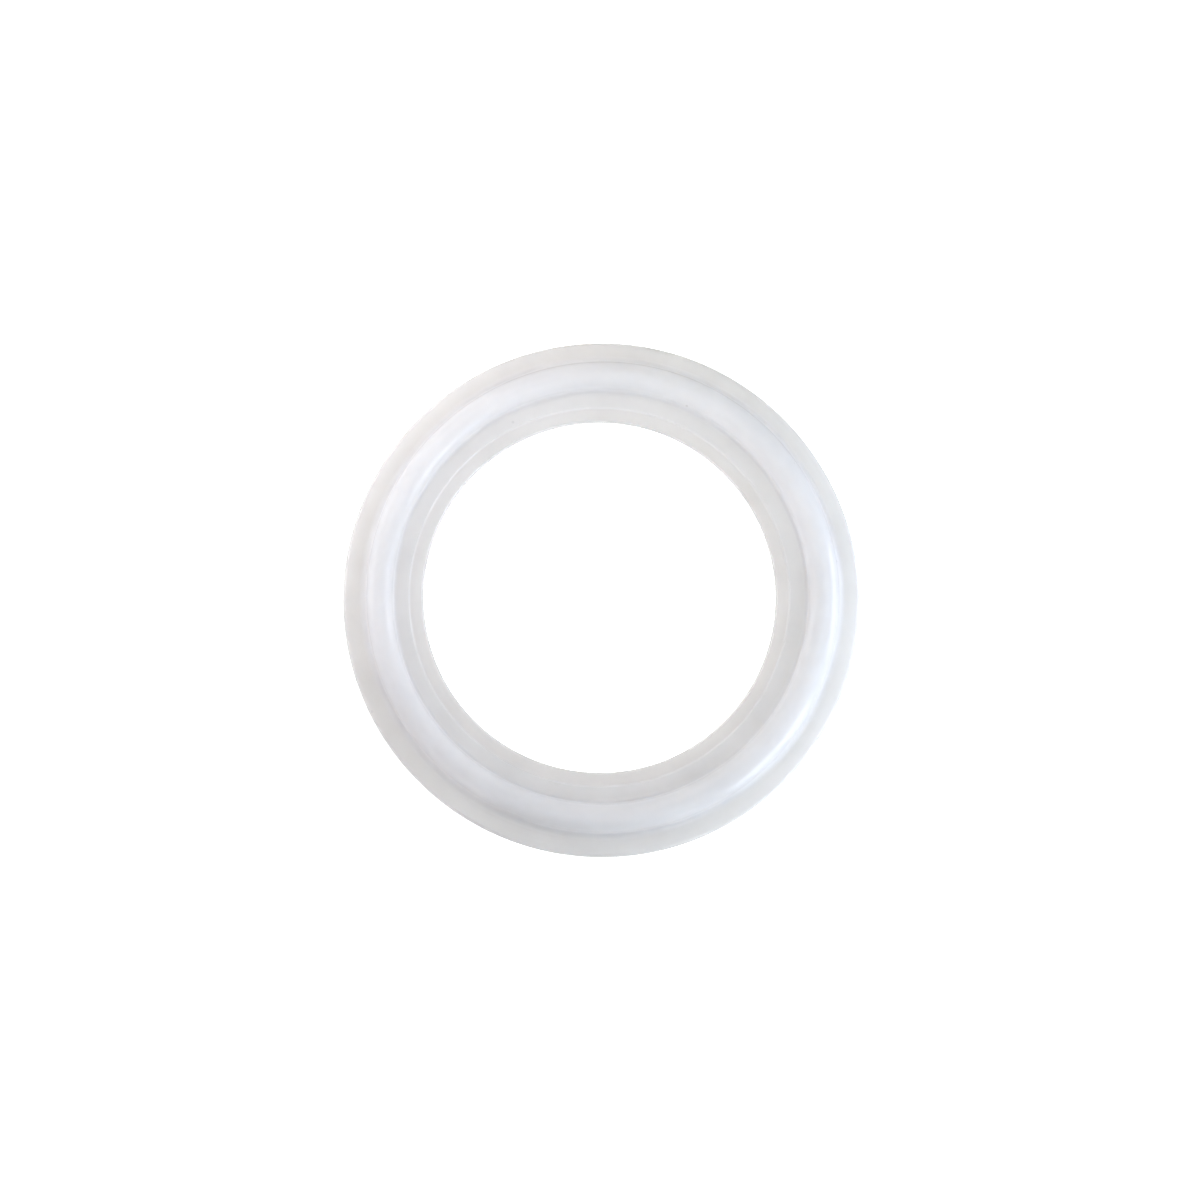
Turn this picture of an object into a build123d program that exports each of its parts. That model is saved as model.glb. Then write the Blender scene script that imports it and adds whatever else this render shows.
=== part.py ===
"""Sanitary clamp gasket: one ring of moulded translucent silicone rubber for a 1.5 inch clamp union.

The ring lies flat. +Z is the ring's axis and the origin is the centre of the bore, halfway through
the ring, on the plane where the two halves of its mould meet. The two faces are mirror images.
"""

from build123d import *

import os

# The flat web that the two ferrules squeeze between them.
OUTSIDE_DIAMETER = 50.5
BORE_DIAMETER = 34.5
WEB_THICKNESS = 1.8

# The half-round bead on each face, which seats in the groove of a ferrule.
BEAD_PLACE = 0.556  # how far its crest runs from the bore, as a share of the way to the outside
BEAD_WIDTH = 2.8  # across its foot, before the roots are rounded
BEAD_HEIGHT = 1.4  # from the web's face to the crest
BEAD_OUTER_ROOT_ROUND = 0.4
BEAD_INNER_ROOT_ROUND = 0.15

# The lip next to the bore, which thins so that it ends flush with the tube when it is squeezed.
LIP_SHARE = 0.443  # its share of the way from the bore to the foot of the bead
LIP_EDGE_THICKNESS = 1.2

# Rounds that the mould leaves on the corners.
RIM_ROUND = 0.3
LIP_CORNER_ROUND = 0.25
BORE_EDGE_ROUND = 0.2


def corner_near(sketch, radius, height):
    """The corner of the section that lies nearest to a distance from the axis and a height."""
    return sketch.vertices().sort_by_distance(Vector(radius, height, 0))[0]


outside_radius = OUTSIDE_DIAMETER / 2
bore_radius = BORE_DIAMETER / 2
bead_radius = bore_radius + BEAD_PLACE * (outside_radius - bore_radius)
bead_inner_foot = bead_radius - BEAD_WIDTH / 2
bead_outer_foot = bead_radius + BEAD_WIDTH / 2
lip_radius = bore_radius + LIP_SHARE * (bead_inner_foot - bore_radius)
web_top = WEB_THICKNESS / 2
lip_top = LIP_EDGE_THICKNESS / 2

# The upper half of the section, from the mould's parting plane to the crest of the bead.
with BuildSketch() as half_section:
    with BuildLine():
        Polyline(
            (outside_radius, 0),
            (bore_radius, 0),
            (bore_radius, lip_top),
            (lip_radius, web_top),
            (bead_inner_foot, web_top),
        )
        EllipticalCenterArc(
            (bead_radius, web_top),
            x_radius=BEAD_WIDTH / 2,
            y_radius=BEAD_HEIGHT,
            arc_size=180,
        )
        Polyline((bead_outer_foot, web_top), (outside_radius, web_top), (outside_radius, 0))
    make_face()
    fillet(corner_near(half_section, bead_outer_foot, web_top), BEAD_OUTER_ROOT_ROUND)
    fillet(corner_near(half_section, bead_inner_foot, web_top), BEAD_INNER_ROOT_ROUND)
    fillet(corner_near(half_section, lip_radius, web_top), LIP_CORNER_ROUND)
    fillet(corner_near(half_section, bore_radius, lip_top), BORE_EDGE_ROUND)
    fillet(corner_near(half_section, outside_radius, web_top), RIM_ROUND)

# The whole section, stood up beside the axis and turned once round it.
with BuildPart() as gasket:
    with BuildSketch(Plane.XZ):
        add(half_section.sketch)
        mirror(about=Plane.XZ)
    revolve(axis=Axis.Z)

gasket.part.label = "gasket"
os.makedirs("parts", exist_ok=True)
export_step(gasket.part, "parts/gasket.step")
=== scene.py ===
import math

import bmesh
import bpy
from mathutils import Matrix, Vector


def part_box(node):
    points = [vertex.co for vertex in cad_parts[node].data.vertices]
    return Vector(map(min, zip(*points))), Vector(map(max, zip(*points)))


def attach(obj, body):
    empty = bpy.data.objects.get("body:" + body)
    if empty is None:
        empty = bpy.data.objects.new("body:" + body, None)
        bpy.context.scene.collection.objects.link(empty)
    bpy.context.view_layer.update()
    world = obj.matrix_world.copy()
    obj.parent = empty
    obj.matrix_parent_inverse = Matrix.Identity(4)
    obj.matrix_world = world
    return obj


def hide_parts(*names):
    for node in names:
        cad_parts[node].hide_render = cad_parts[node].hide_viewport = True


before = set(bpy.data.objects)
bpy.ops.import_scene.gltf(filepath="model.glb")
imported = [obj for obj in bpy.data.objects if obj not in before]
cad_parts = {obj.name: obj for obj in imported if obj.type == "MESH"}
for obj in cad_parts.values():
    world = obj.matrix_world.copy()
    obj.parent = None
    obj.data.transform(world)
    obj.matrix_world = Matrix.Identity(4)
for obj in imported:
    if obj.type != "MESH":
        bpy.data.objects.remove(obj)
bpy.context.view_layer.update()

# ---------------------------------------------------------------------------------------------
# The gasket. One ring of translucent milky silicone rubber, moulded in a two-part steel mould
# that was turned on a lathe, so it carries the mould's fine circles, a fine parting line round
# its rim and bore, and the satin surface of the steel. It lies loose on the bench.
# ---------------------------------------------------------------------------------------------
MM = 0.001

ring_low, ring_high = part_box("gasket")
rim_radius = (ring_high.x - ring_low.x) / 2 / MM
crest_height = (ring_high.z - ring_low.z) / 2 / MM

# The section's main sizes, in millimetres. A half is measured up from the parting line.
BORE_RADIUS = 17.25
LIP_RADIUS = 18.6
LIP_EDGE_HALF = 0.6
BEAD_RADIUS = 21.698
BEAD_HEIGHT = 1.4
web_half = crest_height - BEAD_HEIGHT

# Rounds on the corners of the section, and how far the walls draw in from the parting line.
RIM_ROUND = 0.3
BORE_ROUND = 0.2
LIP_STEP = 0.12
LIP_STEP_ROUND = 0.04
BEAD_INNER_ROOT = 0.42
BEAD_OUTER_ROOT = 0.68
ROOT_RIDGE = 0.01
ROOT_RIDGE_HALF_WIDTH = 0.07
WALL_DRAFT = 0.015
PARTING_RIDGE = 0.02
PARTING_HALF_WIDTH = 0.035

# How many steps draw each arc of the section, and how many parts each straight run has.
CORNER_STEPS = 8
LIP_CORNER_STEPS = 6
INNER_ROOT_STEPS = 8
BEAD_STEPS = 40
OUTER_ROOT_STEPS = 12
WALL_PARTS = 3
LIP_PARTS = 6
LAND_PARTS = 7
BRIM_PARTS = 8


def rounded_corner(before, corner, after, radius, steps):
    """Points of the arc that rounds a corner between two straight runs of the section."""
    to_before = (Vector(before) - Vector(corner)).normalized()
    to_after = (Vector(after) - Vector(corner)).normalized()
    half_angle = to_before.angle(to_after) / 2
    centre = Vector(corner) + (to_before + to_after).normalized() * radius / math.sin(half_angle)
    reach = radius / math.tan(half_angle)
    start = Vector(corner) + to_before * reach - centre
    end = Vector(corner) + to_after * reach - centre
    return [
        centre + start.slerp(end, step / steps).normalized() * radius
        for step in range(steps + 1)
    ]


def arc(centre, radius, first_angle, last_angle, steps):
    """Points of an arc of the section, with its angles in radians from the outward direction."""
    angles = [first_angle + (last_angle - first_angle) * step / steps for step in range(steps + 1)]
    return [
        Vector((centre[0] + radius * math.cos(angle), centre[1] + radius * math.sin(angle)))
        for angle in angles
    ]


def straight(start, end, steps):
    """Points inside a straight run of the section, without its two ends."""
    return [Vector(start).lerp(Vector(end), step / steps) for step in range(1, steps)]


def root_angle(root):
    """How far up the bead its root's round reaches, as an angle from the web."""
    return math.asin(root / (BEAD_HEIGHT + root))


def root_centre(root, side):
    """The centre of a root's round: side is -1 towards the bore and 1 towards the rim."""
    reach = math.sqrt(BEAD_HEIGHT**2 + 2 * BEAD_HEIGHT * root)
    return (BEAD_RADIUS + side * reach, web_half + root)


# The upper half of the section, from the parting line in the bore to the one on the rim.
bore_wall = BORE_RADIUS + PARTING_RIDGE
rim_wall = rim_radius - PARTING_RIDGE
lip_foot = (LIP_RADIUS - LIP_STEP / 2, web_half - LIP_STEP)
lip_corner = [Vector(lip_foot)] + rounded_corner(
    lip_foot, (LIP_RADIUS, web_half), (BEAD_RADIUS, web_half), LIP_STEP_ROUND, LIP_CORNER_STEPS
)
bore_corner = rounded_corner(
    (bore_wall, 0), (bore_wall + WALL_DRAFT, LIP_EDGE_HALF), lip_foot, BORE_ROUND, CORNER_STEPS
)
inner_root = arc(
    root_centre(BEAD_INNER_ROOT, -1), BEAD_INNER_ROOT,
    -math.pi / 2, -root_angle(BEAD_INNER_ROOT), INNER_ROOT_STEPS,
)
bead_arc = arc(
    (BEAD_RADIUS, web_half), BEAD_HEIGHT,
    math.pi - root_angle(BEAD_INNER_ROOT), root_angle(BEAD_OUTER_ROOT), BEAD_STEPS,
)
outer_root = arc(
    root_centre(BEAD_OUTER_ROOT, 1), BEAD_OUTER_ROOT,
    math.pi + root_angle(BEAD_OUTER_ROOT), math.pi * 1.5, OUTER_ROOT_STEPS,
)
rim_corner = rounded_corner(
    (BEAD_RADIUS, web_half), (rim_wall - WALL_DRAFT, web_half), (rim_wall, 0), RIM_ROUND,
    CORNER_STEPS,
)
upper_section = [Vector((BORE_RADIUS, 0)), Vector((bore_wall, PARTING_HALF_WIDTH))]
upper_section += straight(upper_section[-1], bore_corner[0], WALL_PARTS) + bore_corner
upper_section += straight(bore_corner[-1], lip_corner[0], LIP_PARTS) + lip_corner
upper_section += straight(lip_corner[-1], inner_root[0], LAND_PARTS) + inner_root
upper_section += bead_arc[1:-1] + outer_root
ridge_radius = outer_root[-1].x + ROOT_RIDGE_HALF_WIDTH
upper_section += [
    Vector((ridge_radius, web_half + ROOT_RIDGE)),
    Vector((ridge_radius + ROOT_RIDGE_HALF_WIDTH, web_half)),
]
upper_section += straight(upper_section[-1], rim_corner[0], BRIM_PARTS) + rim_corner
upper_section += straight(rim_corner[-1], (rim_wall, PARTING_HALF_WIDTH), WALL_PARTS)
upper_section += [Vector((rim_wall, PARTING_HALF_WIDTH)), Vector((rim_radius, 0))]
section = upper_section + [Vector((point.x, -point.y)) for point in reversed(upper_section[1:-1])]

# Soft rubber never comes out of the mould quite round or flat: a few slow waves round the ring.
# Each wave is its count round the ring, its height in millimetres and where it starts.
AROUND = 420
SPREAD_WAVES = ((2, 0.018, 0.6), (3, 0.010, 2.1), (5, 0.005, 4.0))
LIFT_WAVES = ((2, 0.020, 1.9), (3, 0.012, 0.4))


def slow_waves(turn, waves):
    """Sum of slow waves round the ring, in millimetres, at an angle in radians."""
    return sum(height * math.sin(count * turn + start) for count, height, start in waves)


# The bead, the lip and the bore of a soft moulding do not run quite true to its rim: how far the
# circle of each radius is shifted, in millimetres.
OFF_CENTRE = (
    (BORE_RADIUS, (-0.25, 0.04)),
    (LIP_RADIUS, (-0.26, 0.0)),
    (BEAD_RADIUS - BEAD_HEIGHT, (-0.18, 0.16)),
    (BEAD_RADIUS + BEAD_HEIGHT, (0.0, 0.28)),
    (rim_wall - RIM_ROUND, (0.0, 0.0)),
)


def off_centre(radius):
    """How far the ring's circle of that radius lies off the axis, in millimetres."""
    for (inner, inner_shift), (outer, outer_shift) in zip(OFF_CENTRE, OFF_CENTRE[1:]):
        if radius <= outer:
            share = max(0.0, (radius - inner) / (outer - inner))
            return Vector((*inner_shift, 0)).lerp(Vector((*outer_shift, 0)), share)
    return Vector((0, 0, 0))


ring_mesh = bpy.data.meshes.new("gasket_ring")
ring_build = bmesh.new()
loops = []
for around in range(AROUND):
    turn = math.tau * around / AROUND
    outward = Vector((math.cos(turn), math.sin(turn), 0))
    spread = slow_waves(turn, SPREAD_WAVES)
    lift = slow_waves(turn, LIFT_WAVES)
    loops.append([
        ring_build.verts.new(
            (outward * (point.x + spread) + off_centre(point.x) + Vector((0, 0, point.y + lift)))
            * MM
        )
        for point in section
    ])
for around in range(AROUND):
    here, there = loops[around], loops[(around + 1) % AROUND]
    for index in range(len(section)):
        after = (index + 1) % len(section)
        ring_build.faces.new((here[index], here[after], there[after], there[index]))
bmesh.ops.recalc_face_normals(ring_build, faces=ring_build.faces)
ring_build.to_mesh(ring_mesh)
ring_build.free()
ring_mesh.shade_smooth()

# Each point of the skin knows how far across the ring it lies, from the bore to the rim, so that
# the painted warmth and painted light lines follow the section. It also knows how far along the
# section's outline it lies, in metres, so that the finish follows the mould's own circles.
walked = [0.0]
for index in range(1, len(section)):
    walked.append(walked[-1] + (section[index] - section[index - 1]).length * MM)
across_shares = [(point.x - BORE_RADIUS) / (rim_radius - BORE_RADIUS) for point in section]
for name, values in (("across_ring", across_shares), ("along_outline", walked)):
    ring_mesh.attributes.new(name, "FLOAT", "POINT").data.foreach_set("value", values * AROUND)
gasket_ring = bpy.data.objects.new("gasket_ring", ring_mesh)
bpy.context.collection.objects.link(gasket_ring)

# Milky silicone: light soaks in a little way and comes out soft, under a satin skin.
silicone = bpy.data.materials.new("milky_silicone")
silicone.use_nodes = True
wiring = silicone.node_tree
skin = wiring.nodes["Principled BSDF"]
skin.inputs["IOR"].default_value = 1.41
skin.inputs["Subsurface Weight"].default_value = 1.0
skin.inputs["Subsurface Radius"].default_value = (1.0, 0.95, 0.9)
skin.inputs["Subsurface Scale"].default_value = 0.004
skin.inputs["Transmission Weight"].default_value = 0.3


def node(kind, settings=None, **values):
    """A new shader node in the wiring in hand, with some of its settings and inputs' values."""
    made = wiring.nodes.new(kind)
    for setting, value in (settings or {}).items():
        setattr(made, setting, value)
    for name, value in values.items():
        made.inputs[name.replace("_", " ")].default_value = value
    return made


def join(source, output, target, place_in):
    """Wires one node's output to another's input, each given by its name or its number."""
    wiring.links.new(source.outputs[output], target.inputs[place_in])


place = node("ShaderNodeTexCoord")

# Cloudiness: the rubber is a little milkier in some places than in others.
cloud = node("ShaderNodeTexNoise", Scale=170.0, Detail=3.0, Roughness=0.55)
join(place, "Object", cloud, "Vector")
milk = node("ShaderNodeValToRGB")
milk.color_ramp.elements[0].position = 0.3
milk.color_ramp.elements[0].color = (0.80, 0.80, 0.81, 1)
milk.color_ramp.elements[1].position = 0.7
milk.color_ramp.elements[1].color = (0.87, 0.87, 0.88, 1)
join(cloud, "Fac", milk, "Fac")

# Painted light: the thin lip, land and brim are painted a little warmer than the thick bead, for
# the warm light that shines through thin rubber. Thin lighter lines are painted on the edge of the
# lip and round the two roots of the bead, as painted highlights that also lift the shade in the
# roots.
across = node("ShaderNodeAttribute", {"attribute_name": "across_ring"})
painted_light_tint = node("ShaderNodeValToRGB")
# Stops of the painted light: a share across the ring from the bore to the rim, and the colour that
# the rubber is multiplied by there; above 1 is painted light.
PAINTED_LIGHT_TINTS = (
    (0.00, (0.975, 0.94, 0.885)),
    (0.145, (0.98, 0.945, 0.905)),
    (0.165, (1.07, 1.05, 1.02)),
    (0.185, (0.975, 0.96, 0.935)),
    (0.32, (0.975, 0.96, 0.935)),
    (0.365, (1.03, 1.02, 1.01)),
    (0.39, (1.06, 1.055, 1.045)),
    (0.42, (0.98, 0.975, 0.97)),
    (0.56, (0.995, 0.995, 1.0)),
    (0.69, (0.965, 0.97, 0.97)),
    (0.722, (1.07, 1.065, 1.055)),
    (0.745, (1.05, 1.045, 1.035)),
    (0.785, (1.0, 0.99, 0.97)),
    (0.82, (0.98, 0.965, 0.93)),
    (1.00, (0.98, 0.96, 0.92)),
)
while len(painted_light_tint.color_ramp.elements) < len(PAINTED_LIGHT_TINTS):
    painted_light_tint.color_ramp.elements.new(0.5)
for stop, (share, colour) in zip(painted_light_tint.color_ramp.elements, PAINTED_LIGHT_TINTS):
    stop.position = share
    stop.color = (*colour, 1)
join(across, "Fac", painted_light_tint, "Fac")
MIX_FACTOR = 0
MIX_FIRST_COLOUR = 6
MIX_SECOND_COLOUR = 7
MIXED_COLOUR = 2
tinted = node("ShaderNodeMix", {"data_type": "RGBA", "blend_type": "MULTIPLY"})
tinted.inputs[MIX_FACTOR].default_value = 1.0
join(milk, "Color", tinted, MIX_FIRST_COLOUR)
join(painted_light_tint, "Color", tinted, MIX_SECOND_COLOUR)

# Dust: a few tiny specks that soft rubber picks up.
dust = node("ShaderNodeTexVoronoi", Scale=260.0, Randomness=1.0)
join(place, "Object", dust, "Vector")
SPECK_SIZE = 0.035
SPECK_GREY = (0.72, 0.71, 0.70, 1)
speck = node("ShaderNodeMath", {"operation": "LESS_THAN"})
speck.inputs[1].default_value = SPECK_SIZE
join(dust, "Distance", speck, 0)
dusted = node("ShaderNodeMix", {"data_type": "RGBA", "clamp_factor": True})
dusted.inputs[MIX_SECOND_COLOUR].default_value = SPECK_GREY
join(speck, "Value", dusted, MIX_FACTOR)
join(tinted, MIXED_COLOUR, dusted, MIX_FIRST_COLOUR)
join(dusted, MIXED_COLOUR, skin, "Base Color")

# The mould's turned finish: fine circles round the axis, uneven in depth.
along = node("ShaderNodeAttribute", {"attribute_name": "along_outline"})
circles = node("ShaderNodeTexNoise", {"noise_dimensions": "1D"}, Scale=9000.0, Detail=2.0)
join(along, "Fac", circles, "W")
grain = node("ShaderNodeTexNoise", Scale=2600.0, Detail=2.0)
join(place, "Object", grain, "Vector")
finish_height = node("ShaderNodeMath", {"operation": "ADD"})
join(circles, "Fac", finish_height, 0)
join(grain, "Fac", finish_height, 1)
skin_bump = node("ShaderNodeBump", Strength=0.07, Distance=0.00002)
join(finish_height, "Value", skin_bump, "Height")
join(skin_bump, "Normal", skin, "Normal")

# Satin with slightly glossier and duller places.
handled = node("ShaderNodeTexNoise", Scale=90.0, Detail=2.0)
join(place, "Object", handled, "Vector")
satin = node("ShaderNodeMapRange", To_Min=0.12, To_Max=0.20)
join(handled, "Fac", satin, "Value")
join(satin, "Result", skin, "Roughness")

ring_mesh.materials.append(silicone)
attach(gasket_ring, "root")
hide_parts("gasket")

# ---------------------------------------------------------------------------------------------
# The bench. A round sheet of matt white card that the ring lies on, on the crest of its lower
# bead. It shows plain white, and keeps the ring's soft shadow.
# ---------------------------------------------------------------------------------------------
BENCH_RADIUS = 155.0
BENCH_CORNERS = 96
BENCH_GAP = 0.04
CARD_GLOW = 0.85
bench_mesh = bpy.data.meshes.new("bench")
bench_build = bmesh.new()
bench_corners = [
    bench_build.verts.new((
        BENCH_RADIUS * MM * math.cos(math.tau * corner / BENCH_CORNERS),
        BENCH_RADIUS * MM * math.sin(math.tau * corner / BENCH_CORNERS),
        0,
    ))
    for corner in range(BENCH_CORNERS)
]
bench_build.faces.new(bench_corners)
bench_build.to_mesh(bench_mesh)
bench_build.free()
bench = bpy.data.objects.new("bench", bench_mesh)
bench.location.z = ring_low.z - BENCH_GAP * MM
bpy.context.collection.objects.link(bench)


def ray_seen_by_eye():
    """1 where a ray comes from the camera, off a gloss or through the rubber, and 0 elsewhere."""
    ray = node("ShaderNodeLightPath")
    seen = node("ShaderNodeMath", {"operation": "MAXIMUM"})
    join(ray, "Is Camera Ray", seen, 0)
    join(ray, "Is Glossy Ray", seen, 1)
    seen_through = node("ShaderNodeMath", {"operation": "MAXIMUM"})
    join(seen, "Value", seen_through, 0)
    join(ray, "Is Transmission Ray", seen_through, 1)
    return seen_through


card = bpy.data.materials.new("white_card")
card.use_nodes = True
wiring = card.node_tree
wiring.nodes.clear()
card_matt = node("ShaderNodeBsdfDiffuse", Color=(0.80, 0.80, 0.80, 1))
card_glow = node("ShaderNodeEmission", Color=(1, 1, 1, 1))
glow_strength = node("ShaderNodeMath", {"operation": "MULTIPLY"})
glow_strength.inputs[1].default_value = CARD_GLOW
join(ray_seen_by_eye(), "Value", glow_strength, 0)
join(glow_strength, "Value", card_glow, "Strength")
card_sum = node("ShaderNodeAddShader")
join(card_matt, "BSDF", card_sum, 0)
join(card_glow, "Emission", card_sum, 1)
card_out = node("ShaderNodeOutputMaterial")
join(card_sum, "Shader", card_out, "Surface")
bench_mesh.materials.append(card)

# ---------------------------------------------------------------------------------------------
# The light. A white room, with a ring of soft boxes low on the bench: the cool ones to the right,
# the near ones to the back and left, so that the ring is brightest at its upper left. Three small
# lamps, two windows and one overhead, draw the thin lights on the rounded edges.
# ---------------------------------------------------------------------------------------------
room = bpy.data.worlds.new("white_room")
bpy.context.scene.world = room
room.use_nodes = True
wiring = room.node_tree
wiring.nodes.clear()
room_light = node("ShaderNodeBackground", Color=(0.98, 0.99, 1.0, 1), Strength=0.02)
room_seen = node("ShaderNodeBackground", Color=(1, 1, 1, 1), Strength=1.0)
room_mix = node("ShaderNodeMixShader")
join(ray_seen_by_eye(), "Value", room_mix, 0)
join(room_light, "Background", room_mix, 1)
join(room_seen, "Background", room_mix, 2)
room_out = node("ShaderNodeOutputWorld")
join(room_mix, "Shader", room_out, "Surface")


def soft_box(name, away, turn, rise, side, power, colour, glints=True):
    """A square soft box that shines at the ring. How far away it stands and its side are in
    millimetres, its turn round the ring and its rise over the bench in degrees, its power in
    watts. One with no glints gives light but isn't mirrored in the rubber."""
    lamp = bpy.data.lights.new(name, "AREA")
    lamp.shape = "SQUARE"
    lamp.size = side * MM
    lamp.energy = power
    lamp.color = colour
    stand = bpy.data.objects.new(name, lamp)
    turn, rise = math.radians(turn), math.radians(rise)
    level = away * math.cos(rise)
    stand.location = (
        level * math.cos(turn) * MM, level * math.sin(turn) * MM, away * math.sin(rise) * MM
    )
    stand.rotation_euler = (-stand.location).to_track_quat("-Z", "Y").to_euler()
    stand.visible_camera = False
    stand.visible_glossy = glints
    bpy.context.collection.objects.link(stand)


soft_box("right_box", 150, 2, 17, 80, 0.114, (0.82, 0.91, 1.0))
soft_box("back_right_box", 150, 45, 14, 70, 0.080, (0.76, 0.78, 1.0))
soft_box("front_left_box", 150, 208, 12, 60, 0.108, (0.98, 0.97, 1.0), glints=False)
soft_box("front_box", 150, 268, 10, 60, 0.036, (1.0, 0.92, 0.93))
soft_box("near_right_box", 72, 0, 45, 40, 0.0078, (0.98, 0.98, 1.0), glints=False)
soft_box("near_back_right_box", 75, 58, 45, 45, 0.0134, (0.70, 0.87, 1.0), glints=False)
soft_box("near_back_left_box", 75, 104, 45, 45, 0.0074, (1.0, 0.86, 0.50), glints=False)
soft_box("near_left_box", 66, 170, 45, 38, 0.0210, (0.98, 0.95, 1.0), glints=False)
soft_box("window_low", 200, -28, 13, 16, 0.018, (0.95, 0.98, 1.0))
soft_box("window_high", 260, -27, 56, 12, 0.030, (0.98, 0.99, 1.0))
soft_box("ceiling_lamp", 354, -101, 81, 20, 0.010, (1.0, 1.0, 1.0))

# ---------------------------------------------------------------------------------------------
# The camera. It looks almost straight down, from a hand's length above the ring and leaning a
# little to the right and the front.
# ---------------------------------------------------------------------------------------------
CAMERA_AWAY = 230.0
CAMERA_RIGHT = math.radians(3.0)
CAMERA_FRONT = math.radians(3.5)
RING_SHARE_OF_FRAME = 515 / 1200
frame_across = rim_radius * 2 / RING_SHARE_OF_FRAME
looked_at = Vector((0.0, -0.18, 0.0))
camera_data = bpy.data.cameras.new("camera")
camera_data.sensor_width = 36.0
camera_data.lens = camera_data.sensor_width * CAMERA_AWAY / frame_across
camera_data.clip_start = 0.01
camera = bpy.data.objects.new("camera", camera_data)
leaning = Vector((math.tan(CAMERA_RIGHT), -math.tan(CAMERA_FRONT), 1)).normalized()
camera.location = (looked_at + leaning * CAMERA_AWAY) * MM
camera.rotation_euler = leaning.to_track_quat("Z", "Y").to_euler()
bpy.context.collection.objects.link(camera)
bpy.context.scene.camera = camera
bpy.context.scene.view_settings.view_transform = "Standard"
